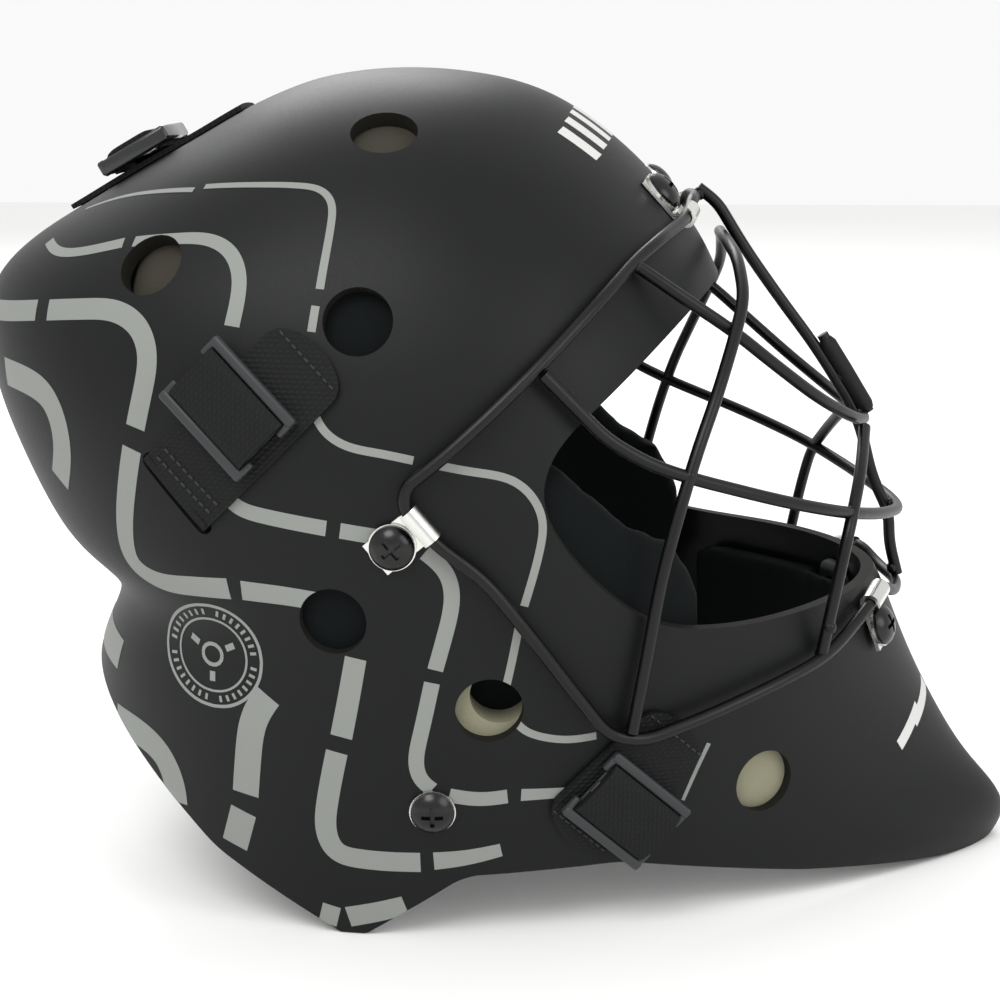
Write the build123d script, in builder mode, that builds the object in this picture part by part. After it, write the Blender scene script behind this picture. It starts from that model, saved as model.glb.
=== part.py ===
"""Goalkeeper's mask: moulded shell, padded liner, welded wire cage, clips, straps and sliders.

Frame: +X faces forward, +Y is the wearer's left, +Z is up. The origin lies under the middle of
the mask, on the surface that its two jaw wings and its chin stand on. Millimetres.
"""
import math
import os

from build123d import *

os.makedirs("parts", exist_ok=True)

# Driving dimensions of the shell
half_length = 168.0  # from the middle of the mask to its chin tip, and to its back
half_width = 111.0  # at ear level
height = 257.0
ear_level = 140.0
floor_half_width = 94.0
wall = 4.5
dome_power = 2.1
flare_power = 1.6

# Driving dimensions of the cage, clips, straps and sliders
wire_diameter = 3.8
strap_width = 27.0
strap_thickness = 1.6
strap_gap = 0.4
slider_length = 25.0
slider_width = 34.0
slider_bar = 4.5
slider_thickness = 3.0
vent_radius = 10.0
liner_gap = 0.6
liner_thickness = 11.0
screw_head_radius = 6.5
screw_head_height = 3.4
screw_shank_radius = 2.5
hole_clearance = 0.25
sides = {"left": 1, "right": -1}

# Horizontal stations of the outer form: height, back, front, widest place, power of the front
# half's outline. A power near 1.4 gives the pointed chin, and 2 an ellipse.
stations = [
    (-8, -137, 160, -20, 1.36),
    (10, -138, 169.6, -20, 1.42),
    (26, -138, 159, -20, 1.50),
    (45, -138, 146, -20, 1.60),
    (62, -137, 137, -20, 1.70),
    (78, -133, 130, -20, 1.80),
    (94, -128, 123, -20, 1.88),
    (108, -141, 114, -21, 1.92),
    (124, -152, 106, -23, 1.94),
    (142, -160, 96, -26, 1.96),
    (160, -166, 86, -29, 2.00),
    (176, -168, 77, -31, 2.10),
    (190, -165.5, 69.5, -33, 2.15),
    (202, -155, 63.5, -34, 2.15),
    (214, -136.5, 55, -34, 2.10),
    (226, -116, 44.5, -34, 2.05),
    (236, -98, 33.5, -33, 2.00),
    (244, -84, 22.5, -32, 2.00),
    (250, -71, 11, -31, 2.00),
    (254, -59, -2, -31, 2.00),
    (256.2, -46, -16, -31, 2.00),
]
rear_power = 2.2
outline_steps = 10


def width_at(level):
    """Half the width of the outer form at a level."""
    if level > ear_level:
        rise = (level - ear_level) / (height - ear_level)
        return half_width * (1 - rise**dome_power) ** (1 / dome_power)
    drop = (ear_level - level) / ear_level
    return half_width - (half_width - floor_half_width) * drop**flare_power


def draw_stations(growth):
    """Every station as a sketch. Growth moves the form outwards, or inwards if negative."""
    stretch_x = 1 + growth / half_length
    stretch_y = 1 + growth / half_width
    stretch_z = 1 + growth / height
    sketches = []
    for level, back, front, widest, power in stations:
        points = []
        for step in range(-outline_steps, outline_steps):
            turn = math.pi * (step + 0.5) / outline_steps
            ahead = math.cos(turn) > 0
            reach = front - widest if ahead else widest - back
            bulge = power if ahead else rear_power
            along = math.copysign(abs(math.cos(turn)) ** (2 / bulge), math.cos(turn))
            across = math.copysign(abs(math.sin(turn)) ** (2 / bulge), turn)
            x = (widest + reach * along) * stretch_x
            points.append((x, width_at(level) * across * stretch_y))
        with BuildSketch(Plane.XY.offset(level * stretch_z)) as outline:
            with BuildLine():
                Spline(points, periodic=True)
            make_face()
        sketches.append(outline.sketch)
    return sketches


def station_values(level):
    """Back, front, widest place and front power at any level, between the stations."""
    for low, high in zip(stations, stations[1:]):
        if low[0] <= level <= high[0]:
            share = (level - low[0]) / (high[0] - low[0])
            return [a + (b - a) * share for a, b in zip(low[1:], high[1:])]
    return list(stations[-1][1:])


def side_reach(x, level):
    """How far the outer form reaches sideways at a place seen from the side."""
    back, front, widest, power = station_values(level)
    if x > widest:
        share = min((x - widest) / (front - widest), 0.999)
        return width_at(level) * (1 - share**power) ** (1 / power)
    share = min((widest - x) / (widest - back), 0.999)
    return width_at(level) * (1 - share**rear_power) ** (1 / rear_power)


def seat(x, level, side, lift=0.0, heading=0.0):
    """A plane on the shell: its z points out of the wall, its x along a heading seen from the side."""
    probe = 3.0
    slope_x = (side_reach(x + probe, level) - side_reach(x - probe, level)) / (2 * probe)
    slope_z = (side_reach(x, level + probe) - side_reach(x, level - probe)) / (2 * probe)
    outward = Vector(-slope_x, side, -slope_z).normalized()
    run = Vector(math.cos(math.radians(heading)), 0, math.sin(math.radians(heading)))
    forward = (run - outward * run.dot(outward)).normalized()
    spot = Vector(x, side * side_reach(x, level), level) + outward * lift
    return Plane(origin=spot, x_dir=forward, z_dir=outward)


def finish(part, label):
    part.label = label
    export_step(part, f"parts/{label}.step")


def profile_plane(plane):
    """The plane through a seat that holds its heading and its outward direction."""
    return Plane(origin=plane.origin, x_dir=plane.x_dir, z_dir=-plane.y_dir)


# Forms that the shell, the liner and the straps share
strap_top = strap_gap + strap_thickness
liner_outer = -wall - liner_gap
liner_inner = liner_outer - liner_thickness
forms = {}
for growth in (0.0, -wall, liner_outer, liner_inner, strap_gap, strap_top):
    with BuildPart() as form:
        loft(draw_stations(growth))
    forms[growth] = form.part

# Where the clips' screws go: place, level, lift off the shell and heading towards the wire
clip_reach = 10.4
clip_places = {
    "forehead": (47.6, 218, 0.2, -50),
    "temple": (-28, 125.5, 0.2, 40),
    "chin": (118.5, 82, 1.0, 125),
}
clip_seats = {
    (name, side): seat(x, level, sides[side], lift, heading)
    for name, (x, level, lift, heading) in clip_places.items()
    for side in sides
}
jaw_seats = {side: seat(-18, 43, sides[side], 0.15, 0) for side in sides}

# Shell: the outer form less the inner one, trimmed along its lower edge and cut for the face
vent_places = [(-34, 239), (-100, 202), (-38, 188), (-46, 102), (-1, 75), (82, 42)]
slot_place = (-91.5, 137.5)
slot_width = 5.5
slot_length = strap_width + 2.5
crown_slot = Plane(origin=(-140, 0, 211.5), x_dir=(0, 1, 0), z_dir=(-0.5, 0, 0.866))
cut_depth = 14.0

with BuildPart() as shell:
    add(forms[0.0])
    with BuildSketch(Plane.XZ):
        with BuildLine():
            FilletPolyline((-200, 73), (-135, 71), (-86, 24), (-47, 0), radius=[6, 40])
            FilletPolyline(
                (-47, 0), (-39, 0), (-9, 20.5), (38, 21.5), (96, 9), (150, 0), (200, 0),
                radius=[4, 18, 40, 120, 60],
            )
            Polyline((200, 0), (200, -40), (-200, -40), (-200, 73))
        make_face()
    extrude(amount=half_width + 20, both=True, mode=Mode.SUBTRACT)
    with BuildSketch(Plane.XZ):
        with BuildLine():
            face_edge = Spline(
                (200, 196), (110, 195.5), (69, 193), (52, 182), (30, 163), (17, 149), (14.5, 137),
                (20, 124), (34, 108), (48, 98.5), (64, 95), (98, 95), (200, 95),
            )
            Line(face_edge @ 1, face_edge @ 0)
        make_face()
    extrude(amount=half_width + 20, both=True, mode=Mode.SUBTRACT)
    add(forms[-wall], mode=Mode.SUBTRACT)
    for x, level in vent_places:
        for side in sides.values():
            with BuildSketch(seat(x, level, side)):
                Circle(vent_radius)
    for side in sides.values():
        with BuildSketch(seat(*slot_place, side, heading=-45)):
            SlotOverall(slot_length, slot_width)
    with BuildSketch(crown_slot):
        SlotOverall(slot_length, slot_width)
    for plane in list(clip_seats.values()) + list(jaw_seats.values()):
        with BuildSketch(plane):
            Circle(screw_shank_radius + hole_clearance)
    extrude(amount=cut_depth, both=True, mode=Mode.SUBTRACT)
finish(shell.part, "shell")


# Liner: foam pieces that follow the inside of the shell, each cut from the space between two forms
pad_outlines = {
    "crown_pad": [(-72, 262), (-72, 224), (18, 224), (18, 262)],
    "forehead_pad": [(24, 240), (24, 214), (40, 201), (90, 201), (90, 240)],
    "rear_pad": [(-175, 193), (-175, 122), (-112, 122), (-112, 193)],
    "nape_pad": [(-175, 114), (-175, 84), (-104, 84), (-104, 114)],
    "chin_pad": [(66, 84), (66, 28), (180, 28), (180, 84)],
}
side_pad_outlines = {
    "temple_pad": [(-108, 212), (-108, 146), (4, 146), (14, 168), (26, 184), (10, 204)],
    "cheek_pad": [
        (-40, 138), (-52, 118), (-52, 62), (-34, 36), (20, 36), (52, 50), (60, 78), (60, 106),
        (52, 121), (44, 124), (34, 131), (24, 140), (14, 150), (2, 142),
    ],
}
outline_corner = 5.0  # of pads and straps, seen from the side
pad_pocket_radius = 10.0
hardware_seats = list(clip_seats.values()) + list(jaw_seats.values())


def side_view_prism(outline, side=0):
    """An outline seen from the side, made solid on one side of the head or right across it."""
    reach = half_width + 20
    start = Plane.XZ if side else Plane.XZ.offset(-reach)
    with BuildPart() as prism:
        with BuildSketch(start):
            with BuildLine():
                FilletPolyline(*outline, radius=outline_corner, close=True)
            make_face()
        extrude(amount=-side * reach if side else 2 * reach)
    return prism.part


def liner_piece(outline, side=0):
    """A piece of the liner, with a pocket wherever a screw's nut stands behind it."""
    low_x = min(x for x, level in outline) - pad_pocket_radius
    high_x = max(x for x, level in outline) + pad_pocket_radius
    with BuildPart() as piece:
        add(forms[liner_outer])
        add(side_view_prism(outline, side), mode=Mode.INTERSECT)
        add(forms[liner_inner], mode=Mode.SUBTRACT)
        for plane in hardware_seats:
            if low_x < plane.origin.X < high_x:
                with BuildSketch(plane):
                    Circle(pad_pocket_radius)
                extrude(amount=-wall * 2, mode=Mode.SUBTRACT)
    return piece.part


for label, outline in pad_outlines.items():
    finish(liner_piece(outline), label)
for label, outline in side_pad_outlines.items():
    for side, sign in sides.items():
        finish(liner_piece(outline, sign), f"{label}_{side}")

# Cage: one welded wire guard, modelled wire by wire
clip_lift = 1.2 + 0.15 + wire_diameter / 2


def clip_wire(name):
    """Where a left clip takes in the wire, and where it lets it go."""
    plane = clip_seats[name, "left"]
    return [tuple(plane.from_local_coords((clip_reach, step, clip_lift))) for step in (-7, 7)]


def across(points):
    """Points on the left, carried on over the middle and down the right."""
    tail = points[:-1] if points[-1][1] == 0 else points
    return points + [(x, -y, z) for x, y, z in reversed(tail)]


def mirrored(points):
    return [(x, -y, z) for x, y, z in points]


def lifted(x, level, lift):
    """A point above the left side of the shell."""
    return tuple(seat(x, level, 1, lift).origin)


def wire(points, closed=False):
    """A bent wire: straight runs joined by arcs as large as the runs allow."""
    spots = [Vector(*point) for point in points]
    count = len(spots)
    radii = []
    for index in range(0 if closed else 1, count if closed else count - 1):
        before = spots[index] - spots[index - 1]
        after = spots[(index + 1) % count] - spots[index]
        turn = math.radians(before.get_angle(after))
        radii.append(0.45 * min(before.length, after.length) / math.tan(turn / 2))
    with BuildPart() as rod:
        with BuildLine() as route:
            FilletPolyline(*points, radius=radii, close=closed)
        path = route.wires()[0]
        with BuildSketch(Plane(origin=path @ 0, z_dir=path % 0)):
            Circle(wire_diameter / 2)
        sweep(path=path)
    return rod.part


frame_left = (
    [(61, 0, 216.5), (59, 15, 216)]
    + clip_wire("forehead")
    + [(47, 60, 207), (40, 70, 202), lifted(27, 190, 5), lifted(12, 175, 5), lifted(-3, 161, 5)]
    + [lifted(-14, 151, 4.5), lifted(-24, 143, 4)]
    + clip_wire("temple")
    + [lifted(-3, 117, 4.5), lifted(9, 101, 5), lifted(22, 82, 5), lifted(32, 67.5, 5)]
    + [lifted(42, 64.5, 5), lifted(60, 69.5, 5), lifted(80, 75.5, 5), lifted(98, 80, 4.5)]
    + clip_wire("chin")
    + [(127, 18, 89.5), (130.5, 0, 89)]
)
frame_right = mirrored(frame_left[1:-1])
finish(wire(frame_left + frame_right[::-1], closed=True), "cage_frame")

brow_left = [
    (40.5, 98.5, 67), (44.5, 99, 90), (48, 98, 112), (53, 95, 132), (58.5, 90, 150), (64, 82, 164),
    (69.5, 69, 179), (73, 58, 190), (72, 42, 200), (70, 22, 203.5), (69.5, 0, 204),
]
upper_hoop_left = [
    (40, 70.5, 201), (54, 70, 191.5), (70, 64.5, 180.5), (83, 56, 169.5), (97, 44.5, 158),
    (111, 25, 148), (119, 0, 143.5),
]
lower_hoop_left = [
    (14, 104, 173.5), (24, 102, 163), (32, 100, 154.5), (44, 97.5, 147), (57, 91.5, 141.5),
    (85, 78, 132), (105, 60.5, 125), (121, 32, 118.5), (131.5, 0, 114),
]
finish(wire(across(brow_left)), "cage_brow_wire")
finish(wire(across(upper_hoop_left)), "cage_upper_hoop")
finish(wire(across(lower_hoop_left)), "cage_lower_hoop")

cheek_wire_left = [(115, 22, 144.5), (111.5, 43, 134), (107, 59, 122), (104, 62, 108), (99, 63, 81)]
centre_wire = [
    (61.5, 0, 219), (68, 0, 214), (77, 0, 199.5), (89, 0, 183), (101, 0, 167.5), (115.5, 0, 145),
    (121, 0, 124), (127, 0, 112), (127.5, 0, 102), (130.5, 0, 91),
]
nose_wire = [(103, 0, 171.5), (110, 0, 160.5), (119, 0, 146)]
finish(wire(cheek_wire_left), "cage_cheek_wire_left")
finish(wire(mirrored(cheek_wire_left)), "cage_cheek_wire_right")
finish(wire(centre_wire), "cage_centre_wire")
finish(wire(nose_wire), "cage_nose_wire")

# Clips: a steel strip under the screw that is rolled over the wire
clip_thickness = 1.2
clip_width = 11.0
clip_tail = 6.5
wire_clearance = 0.15


def rolled_clip(plane):
    """A strip clip lying on its seat, with its roll round the wire."""
    roll_inner = wire_diameter / 2 + wire_clearance
    roll_outer = roll_inner + clip_thickness
    with BuildPart() as clip:
        with BuildSketch(profile_plane(plane)):
            with Locations((clip_reach, roll_outer)):
                Circle(roll_outer)
            with Locations(((clip_reach - clip_tail) / 2, clip_thickness / 2)):
                Rectangle(clip_reach + clip_tail, clip_thickness)
            with Locations((clip_reach, roll_outer)):
                Circle(roll_inner, mode=Mode.SUBTRACT)
            with Locations((clip_reach - roll_outer / 2, roll_outer * 1.25)):
                Rectangle(roll_outer, roll_outer, mode=Mode.SUBTRACT)
        extrude(amount=clip_width / 2, both=True)
        with BuildSketch(plane):
            Circle(screw_shank_radius + hole_clearance)
        extrude(amount=clip_thickness * 2, mode=Mode.SUBTRACT)
    return clip.part


for (name, side), plane in clip_seats.items():
    finish(rolled_clip(plane), f"{name}_clip_{side}")

# Screws, washers and tee nuts: the same fastening at every clip and at both jaws
washer_radius = 6.9
washer_thickness = 1.0
nut_radius = 8.0
nut_plate = 1.3
nut_barrel_radius = 4.0
nut_depth = 6.0  # from the seat to the nut's plate, through the wall
screw_end = nut_depth + nut_plate + 1.2


def washers(planes, stand):
    with BuildPart() as group:
        for plane in planes:
            with BuildSketch(plane.offset(stand)):
                Circle(washer_radius)
                Circle(screw_shank_radius + hole_clearance, mode=Mode.SUBTRACT)
        extrude(amount=washer_thickness)
    return group.part


def domed_screws(planes, stand):
    """Domed heads with a cross recess, on their shanks."""
    with BuildPart() as group:
        for plane in planes:
            under_head = stand + washer_thickness
            with BuildSketch(profile_plane(plane)):
                with BuildLine():
                    Polyline(
                        (0, -screw_end), (screw_shank_radius, -screw_end),
                        (screw_shank_radius, under_head), (screw_head_radius, under_head),
                        (screw_head_radius, under_head + 0.8),
                    )
                    ThreePointArc(
                        (screw_head_radius, under_head + 0.8),
                        (screw_head_radius * 0.62, under_head + screw_head_height * 0.84),
                        (0, under_head + screw_head_height),
                    )
                    Line((0, under_head + screw_head_height), (0, -screw_end))
                make_face()
            revolve(axis=Axis(plane.origin, plane.z_dir))
            with BuildSketch(plane.offset(under_head + screw_head_height - 1.3)):
                Rectangle(6.4, 1.3)
                Rectangle(1.3, 6.4)
            extrude(amount=3, mode=Mode.SUBTRACT)
    return group.part


def tee_nuts(planes):
    with BuildPart() as group:
        for plane in planes:
            with BuildSketch(plane.offset(-nut_depth - nut_plate)):
                Circle(nut_radius)
                Circle(screw_shank_radius, mode=Mode.SUBTRACT)
        extrude(amount=nut_plate)
    return group.part


clip_planes = list(clip_seats.values())
jaw_planes = list(jaw_seats.values())
finish(washers(clip_planes, clip_thickness + 0.05), "clip_washers")
finish(domed_screws(clip_planes, clip_thickness + 0.1), "clip_screws")
finish(tee_nuts(clip_planes), "clip_tee_nuts")
finish(washers(jaw_planes, 0.05), "jaw_washers")
finish(domed_screws(jaw_planes, 0.1), "jaw_screws")
finish(tee_nuts(jaw_planes), "jaw_tee_nuts")

# Straps: webbing that lies on the shell, with its tail through the slot beside it
slot_x, slot_level = slot_place
half_strap = strap_width / 2
lean = math.sqrt(0.5)


def leaning(x, level, along, over):
    """A point seen from the side: along a strap that leans forward at 45 degrees, and across it."""
    return (x + (along - over) * lean, level + (along + over) * lean)


def lying_strap(outline, side):
    with BuildPart() as strap:
        add(forms[strap_top])
        add(side_view_prism(outline, side), mode=Mode.INTERSECT)
        add(forms[strap_gap], mode=Mode.SUBTRACT)
    return strap.part


slider_places = {"side": (-73.5, 163.5), "jaw": (38, 41)}
strap_runs = {"side": ((slot_x, slot_level), -1.8, 61), "jaw": ((12, 22), 13, 62)}


def strap_outline(name):
    (x, level), start, end = strap_runs[name]
    corners = [(start, -half_strap), (end, -half_strap), (end, half_strap), (start, half_strap)]
    return [leaning(x, level, along, over) for along, over in corners]


def slot_tail(plane, inward):
    """The stretch of a strap that dives through its slot."""
    with BuildPart() as tail:
        with BuildSketch(plane.offset(strap_top * 0.8)):
            Rectangle(strap_width - 1, strap_thickness + 0.8)
        extrude(amount=-inward)
    return tail.part


for side, sign in sides.items():
    tail_plane = seat(slot_x, slot_level, sign, heading=-45)
    strap = lying_strap(strap_outline("side"), sign)
    with BuildPart() as side_strap:
        add(strap)
        add(slot_tail(tail_plane, wall + strap_top))
    finish(side_strap.part, f"side_strap_{side}")
    finish(lying_strap(strap_outline("jaw"), sign), f"jaw_strap_{side}")

crown_outline = [(-139.5, 190), (-139.5, 260), (-84, 270), (-84, 190)]
with BuildPart() as crown_strap:
    add(forms[strap_top])
    add(side_view_prism(crown_outline), mode=Mode.INTERSECT)
    add(forms[strap_gap], mode=Mode.SUBTRACT)
    with BuildSketch(Plane.XY):
        Rectangle(half_length * 2, strap_width)
    extrude(amount=height + 20, mode=Mode.INTERSECT)
    add(slot_tail(crown_slot, wall + strap_top))
finish(crown_strap.part, "crown_strap")

# Sliders: three-bar buckles over the straps, each with its fold of webbing over the middle bar
slider_stand = strap_top + 0.5
slider_corner = 2.0
fold_thickness = 1.4


def three_bar_slider(plane, length, width, thickness):
    window = (length - 3 * slider_bar) / 2
    with BuildPart() as slider:
        with BuildSketch(plane):
            RectangleRounded(length, width, slider_corner)
            with Locations((-(window + slider_bar) / 2, 0), ((window + slider_bar) / 2, 0)):
                Rectangle(window, width - 2 * slider_bar / 1.5, mode=Mode.SUBTRACT)
        extrude(amount=thickness)
        fillet(slider.edges().group_by(Axis(plane.origin, plane.z_dir))[-1], 0.6)
    return slider.part


def webbing_fold(plane, length, thickness):
    """The arch of webbing over a slider's middle bar, down into both windows."""
    window = (length - 3 * slider_bar) / 2
    outer = slider_bar / 2 + window - 0.3
    inner = outer - fold_thickness
    with BuildPart() as fold:
        with BuildSketch(profile_plane(plane)):
            with BuildLine():
                Polyline(
                    (-outer, 0.2), (-outer, thickness + 1.9), (outer, thickness + 1.9), (outer, 0.2),
                    (inner, 0.2), (inner, thickness + 0.3), (-inner, thickness + 0.3), (-inner, 0.2),
                    close=True,
                )
            make_face()
        extrude(amount=half_strap - 0.5, both=True)
    return fold.part


for name, (x, level) in slider_places.items():
    for side, sign in sides.items():
        plane = seat(x, level, sign, slider_stand, 45)
        slider = three_bar_slider(plane, slider_length, slider_width, slider_thickness)
        finish(slider, f"{name}_slider_{side}")
        finish(webbing_fold(plane, slider_length, slider_thickness), f"{name}_webbing_fold_{side}")

buckle_spot = Vector(-116, 0, 226) + Vector(-0.5, 0, 0.866) * 4.0
buckle_plane = Plane(origin=buckle_spot, x_dir=(0.866, 0, 0.5), z_dir=(-0.5, 0, 0.866))
buckle_thickness = 4.0
buckle = three_bar_slider(buckle_plane, slider_length, slider_width, buckle_thickness)
finish(buckle, "crown_buckle")
finish(webbing_fold(buckle_plane, slider_length, buckle_thickness), "crown_webbing_fold")
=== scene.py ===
import math

import bmesh
import bpy
import numpy as np
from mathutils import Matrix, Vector
from mathutils.bvhtree import BVHTree


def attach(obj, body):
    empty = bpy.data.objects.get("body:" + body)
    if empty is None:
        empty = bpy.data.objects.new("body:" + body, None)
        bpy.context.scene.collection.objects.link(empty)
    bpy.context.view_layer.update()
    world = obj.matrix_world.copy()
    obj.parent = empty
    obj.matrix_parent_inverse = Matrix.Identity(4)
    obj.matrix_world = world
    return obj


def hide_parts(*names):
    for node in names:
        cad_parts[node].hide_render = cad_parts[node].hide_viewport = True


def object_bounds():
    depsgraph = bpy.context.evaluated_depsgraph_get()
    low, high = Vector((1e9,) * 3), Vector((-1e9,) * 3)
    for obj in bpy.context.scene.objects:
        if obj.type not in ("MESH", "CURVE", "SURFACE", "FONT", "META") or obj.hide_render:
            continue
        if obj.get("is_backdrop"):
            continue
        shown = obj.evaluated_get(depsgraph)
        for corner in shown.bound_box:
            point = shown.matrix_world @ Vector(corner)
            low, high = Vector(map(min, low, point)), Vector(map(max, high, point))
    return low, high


# Goalkeeper's mask. X is forward, Y is the wearer's left, Z is up. Forms are worked out in millimetres
# and made in metres.
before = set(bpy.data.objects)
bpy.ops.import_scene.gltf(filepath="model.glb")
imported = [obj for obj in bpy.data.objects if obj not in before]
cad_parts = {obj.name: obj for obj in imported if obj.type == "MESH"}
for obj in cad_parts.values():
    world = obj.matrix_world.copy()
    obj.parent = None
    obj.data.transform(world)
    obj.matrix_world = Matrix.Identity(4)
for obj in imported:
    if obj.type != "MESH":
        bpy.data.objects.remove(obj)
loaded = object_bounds()
MM = 0.001

# ---- Shell ----
# One moulded composite shell, 4.5 mm thick, sprayed matt black. The form is a stack of outlines, like the
# CAD part's, and the face, the lower edge, the vents and the strap slots are cut from it.


def linear(code):
    """An sRGB hex code as linear colour."""
    parts = [int(code[i : i + 2], 16) / 255 for i in (1, 3, 5)]
    return [c / 12.92 if c <= 0.04045 else ((c + 0.055) / 1.055) ** 2.4 for c in parts] + [1.0]


def add(tree, kind, inputs=None, **settings):
    """Adds a node. Inputs take a value, or another node's output."""
    made = tree.nodes.new(kind)
    for name, value in settings.items():
        setattr(made, name, value)
    for socket, value in (inputs or {}).items():
        if isinstance(value, bpy.types.NodeSocket):
            tree.links.new(value, made.inputs[socket])
        else:
            made.inputs[socket].default_value = value
    return made


def finish_of(name, code, roughness, metallic=0.0, **sockets):
    """A material with its values set straight on the shader. Returns it with its tree and shader."""
    made = bpy.data.materials.new(name)
    made.use_nodes = True
    shader = made.node_tree.nodes["Principled BSDF"]
    shader.inputs["Base Color"].default_value = linear(code)
    shader.inputs["Roughness"].default_value = roughness
    shader.inputs["Metallic"].default_value = metallic
    for socket, value in sockets.items():
        shader.inputs[socket.replace("_", " ")].default_value = value
    return made, made.node_tree, shader


def grain(tree, shader, size, height, low, high, detail=2.0):
    """Fine grain of a size and height in millimetres, and the roughness range that it gives."""
    place = add(tree, "ShaderNodeTexCoord").outputs["Object"]
    noise = add(tree, "ShaderNodeTexNoise", {"Vector": place, "Scale": 1000 / size, "Detail": detail})
    bump = add(tree, "ShaderNodeBump", {"Height": noise.outputs["Fac"], "Distance": height * MM})
    bump.inputs["Strength"].default_value = 1.0
    spread = add(tree, "ShaderNodeMapRange", {"Value": noise.outputs["Fac"], "To Min": low, "To Max": high})
    tree.links.new(spread.outputs["Result"], shader.inputs["Roughness"])
    tree.links.new(bump.outputs["Normal"], shader.inputs["Normal"])


# Sprayed matt paint: near black, with a fine low grain. Where the laminate is cut it is browner and rougher.
shell_black, tree, shader = finish_of("shell_matt_black_paint", "#0c0d0e", 0.5, Specular_IOR_Level=0.2)
grain(tree, shader, 0.9, 0.018, 0.44, 0.54, 4.0)
shell_edge, tree, shader = finish_of("shell_laminate_edge", "#191814", 0.75, Specular_IOR_Level=0.2)
grain(tree, shader, 1.2, 0.05, 0.6, 0.8)

wall = 4.5
half_length = 168
widest_half, widest_level = 111, 140
crown_level = 257
rear_power = 2.2  # of the rear half's outline
around, upwards = 176, 130  # places in a ring, and rings


# Height, back, front, widest place, and the power of the front half's outline
stations = np.array([
    (-8, -137, 160, -20, 1.36), (10, -138, 169.6, -20, 1.42), (26, -138, 159, -20, 1.50),
    (45, -138, 146, -20, 1.60), (62, -137, 137, -20, 1.70), (78, -133, 130, -20, 1.80),
    (94, -128, 123, -20, 1.88), (108, -141, 114, -21, 1.92), (124, -152, 106, -23, 1.94),
    (142, -160, 96, -26, 1.96), (160, -166, 86, -29, 2.00), (176, -168, 77, -31, 2.10),
    (190, -165.5, 69.5, -33, 2.15), (202, -155, 63.5, -34, 2.15), (214, -136.5, 55, -34, 2.10),
    (226, -116, 44.5, -34, 2.05), (236, -98, 33.5, -33, 2.00), (244, -84, 22.5, -32, 2.00),
    (250, -71, 11, -31, 2.00), (254, -59, -2, -31, 2.00), (256.2, -46, -16, -31, 2.00),
])


def spline(knots, values, at):
    """A natural cubic spline through rows of values."""
    knots, values, at = np.asarray(knots, float), np.asarray(values, float), np.asarray(at, float)
    gaps = np.diff(knots)
    count = len(knots)
    left = np.eye(count)
    right = np.zeros_like(values)
    for i in range(1, count - 1):
        left[i, i - 1 : i + 2] = gaps[i - 1], 2 * (gaps[i - 1] + gaps[i]), gaps[i]
        slope = (values[i + 1] - values[i]) / gaps[i] - (values[i] - values[i - 1]) / gaps[i - 1]
        right[i] = 6 * slope
    bend = np.linalg.solve(left, right)
    i = np.clip(np.searchsorted(knots, at) - 1, 0, count - 2)
    gap = gaps[i][:, None]
    a = (knots[i + 1] - at)[:, None] / gap
    b = 1 - a
    curve = ((a**3 - a) * bend[i] + (b**3 - b) * bend[i + 1]) * gap**2 / 6
    return a * values[i] + b * values[i + 1] + curve


def half_width(level):
    """Half the form's width: domed above its widest level, and narrower below it."""
    if level > widest_level:
        share = (level - widest_level) / (crown_level - widest_level)
        return widest_half * (1 - share**2.1) ** (1 / 2.1)
    return widest_half - 17 * ((widest_level - level) / widest_level) ** 1.6


steps = np.hypot(np.hypot(np.diff(stations[:, 0]), np.diff(stations[:, 1])), np.diff(stations[:, 2]))
knots = np.concatenate([[0], np.cumsum(steps)])
levels = spline(knots, stations, np.linspace(0, knots[-1], upwards))
turns = (np.arange(around) + 0.5) * 2 * math.pi / around


def form_rings(growth):
    """The outer form's rings, from low to high, moved outwards by a growth."""
    stretch = np.array([1 + growth / half_length, 1 + growth / widest_half, 1 + growth / crown_level])
    rings = []
    for level, back, front, widest, power in levels:
        ahead = np.cos(turns) > 0
        bulge = np.where(ahead, power, rear_power)
        reach = np.where(ahead, front - widest, widest - back)
        along = np.sign(np.cos(turns)) * np.abs(np.cos(turns)) ** (2 / bulge)
        across = np.sign(np.sin(turns)) * np.abs(np.sin(turns)) ** (2 / bulge)
        ring = np.stack([widest + reach * along, half_width(level) * across, np.full(len(turns), level)], 1)
        rings.append(ring * stretch)
    top = rings[-1]
    middle = top.mean(0)
    for share in (0.8, 0.6, 0.4, 0.2):
        ring = middle + (top - middle) * share
        ring[:, 2] = middle[2] + 0.8 * (1 - share**2)
        rings.append(ring)
    return rings, middle + np.array([0, 0, 0.8])


def grid_faces(rows, columns, start=0, flip=False):
    """Four-sided faces between rings of points."""
    faces = []
    for r in range(rows - 1):
        for c in range(columns):
            a, b = start + r * columns + c, start + r * columns + (c + 1) % columns
            face = (a, b, b + columns, a + columns)
            faces.append(face[::-1] if flip else face)
    return faces


def closed_form(growth, start=0, flip=False):
    """The form's points and faces, closed at the crown and open below."""
    rings, pole = form_rings(growth)
    count = len(turns)
    points = np.concatenate(rings + [pole[None]])
    faces = grid_faces(len(rings), count, start, flip)
    last = start + (len(rings) - 1) * count
    for c in range(count):
        face = (last + c, last + (c + 1) % count, start + len(points) - 1)
        faces.append(face[::-1] if flip else face)
    return points, faces


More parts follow.
